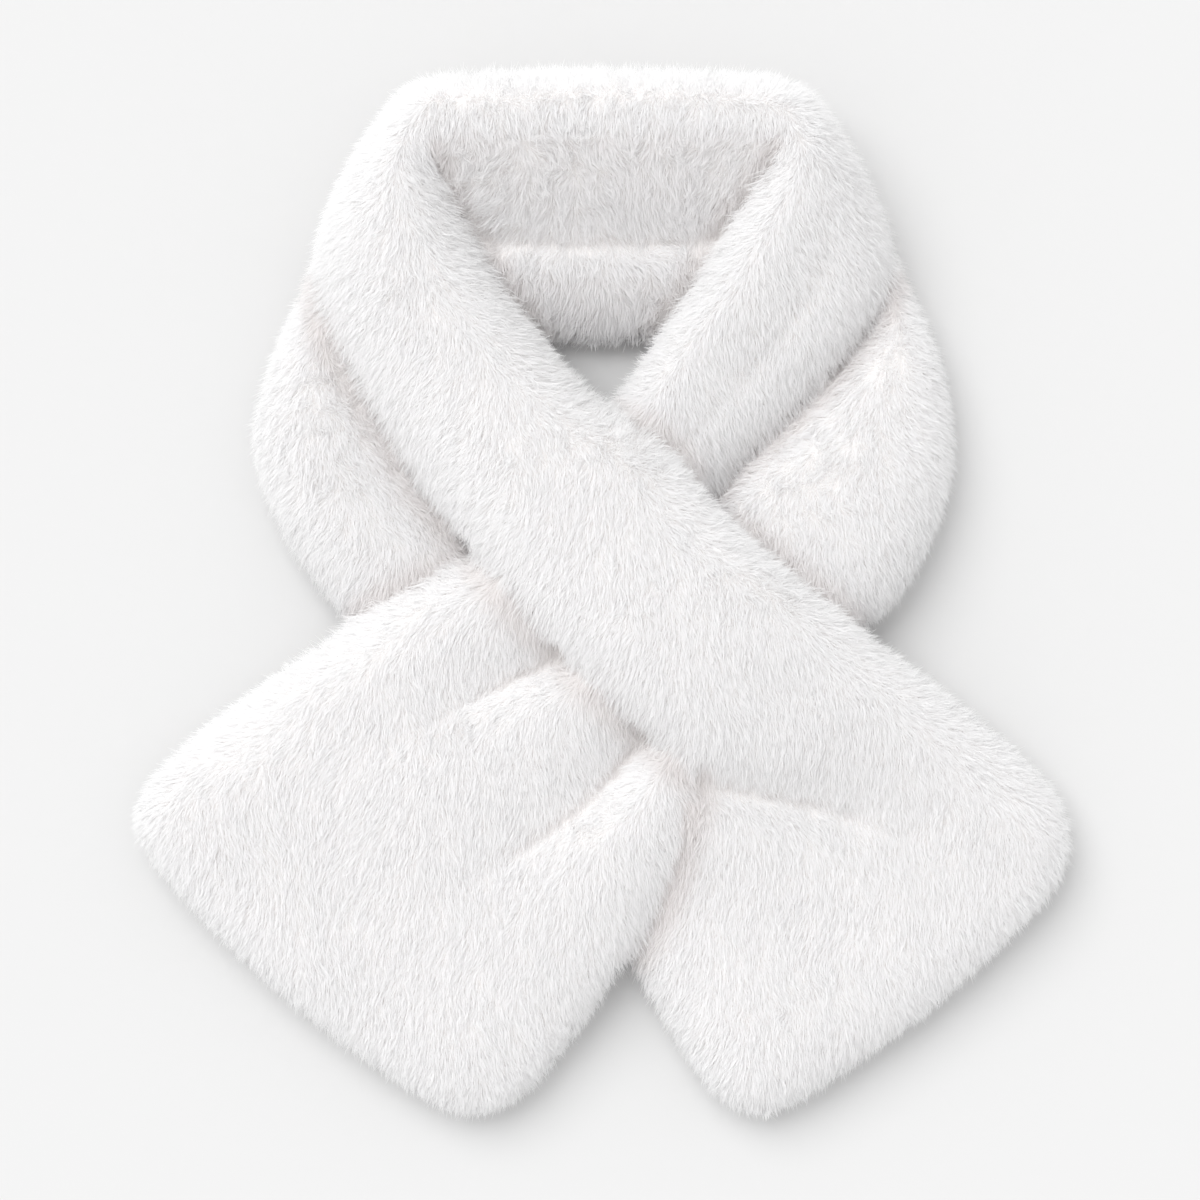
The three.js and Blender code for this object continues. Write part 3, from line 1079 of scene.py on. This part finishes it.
@dataclass
class Studio:
    """The pale table, the soft light and the camera straight above."""

    eye: tuple[float, float, float] = (-0.7 * MM, -1.1 * MM, 1.485)
    lens: float = 120.0
    floor_size: float = 8.0
    floor_tone: float = 0.695
    sky: float = 0.877
    key_strength: float = 1.711
    key_spread: float = 45.0
    key_from: tuple[float, float, float] = (-0.34, 0.47, 0.81)

    def build(self) -> None:
        """Sets up the table, the lights, the sky and the camera."""
        self._table()
        self._key_light()
        self._sky()
        self._camera()
        bpy.context.scene.view_settings.view_transform = "Standard"
        bpy.context.scene.cycles.diffuse_bounces = 8
        bpy.context.scene.cycles.max_bounces = 10

    def _table(self) -> None:
        """Lays the plain pale table under the wrap."""
        ground = bmesh.new()
        bmesh.ops.create_grid(ground, x_segments=1, y_segments=1, size=self.floor_size / 2.0)
        mesh = bpy.data.meshes.new("table_top")
        ground.to_mesh(mesh)
        ground.free()
        paper = bpy.data.materials.new("pale_table")
        paper.use_nodes = True
        shader = paper.node_tree.nodes["Principled BSDF"]
        shader.inputs["Base Color"].default_value = (self.floor_tone, self.floor_tone, self.floor_tone, 1.0)
        shader.inputs["Roughness"].default_value = 0.9
        shader.inputs["Specular IOR Level"].default_value = 0.0
        mesh.materials.append(paper)
        table = bpy.data.objects.new("table_top", mesh)
        bpy.context.scene.collection.objects.link(table)

    def _key_light(self) -> None:
        """Sends broad soft light from the upper left of the picture."""
        lamp = bpy.data.lights.new("key", "SUN")
        lamp.energy = self.key_strength
        lamp.angle = math.radians(self.key_spread)
        holder = bpy.data.objects.new("key", lamp)
        holder.location = self.key_from
        holder.rotation_euler = (-Vector(self.key_from)).to_track_quat("-Z", "Y").to_euler()
        bpy.context.scene.collection.objects.link(holder)

    def _sky(self) -> None:
        """Fills the studio with even white light."""
        world = bpy.data.worlds.new("studio")
        world.use_nodes = True
        background = world.node_tree.nodes["Background"]
        background.inputs["Color"].default_value = (1.0, 1.0, 1.0, 1.0)
        background.inputs["Strength"].default_value = self.sky
        bpy.context.scene.world = world

    def _camera(self) -> None:
        """Looks straight down at the middle of the wrap."""
        lens = bpy.data.cameras.new("camera")
        lens.lens = self.lens
        lens.sensor_width = 36.0
        lens.clip_end = 50.0
        camera = bpy.data.objects.new("camera", lens)
        camera.location = self.eye
        bpy.context.scene.collection.objects.link(camera)
        bpy.context.scene.camera = camera


def dress(stretch: Stretch, number: int, skin: Skin, coat: Coat) -> None:
    """Puts one stretch's skin and pile in place of its plain solid.

    Args:
        stretch: The stretch.
        number: Its place in the order of nodes.
        skin: The whole skin.
        coat: The whole pile.
    """
    cloth = skin.piece(stretch, number)
    pile = coat.piece(stretch, number)
    for part in (cloth, pile):
        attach(part, "root")
        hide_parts(stretch.node)
    pile.data.calc_loop_triangles()
    area = sum(face.area for face in cloth.data.polygons)
    count = len(pile.data.loop_triangles)
    log.info("%s: %.4f square metres of skin, %d triangles of pile", stretch.node, area, count)


def main() -> None:
    """Builds the studio, the skin and the pile, and logs each stretch's skin area and pile triangles."""
    Studio().build()
    nodes = {stretch.node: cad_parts[stretch.node] for stretch in STRETCHES}
    skin = Skin(nodes, GROUND, UNBROKEN)
    skin.build()
    log.info("skin: %d faces", len(skin.mesh.polygons))
    coat = Coat(
        skin=skin,
        finish=WHITE_PILE,
        cuts=(GUARD, UNDERFUR, PRESSED),
        waves=Flow(wavelength=46.0 * MM, seed=SEED),
        locks=Flow(wavelength=9.0 * MM, seed=SEED + 1),
    )
    for number, stretch in enumerate(STRETCHES):
        dress(stretch, number, skin, coat)


if __name__ == "__main__":
    main()
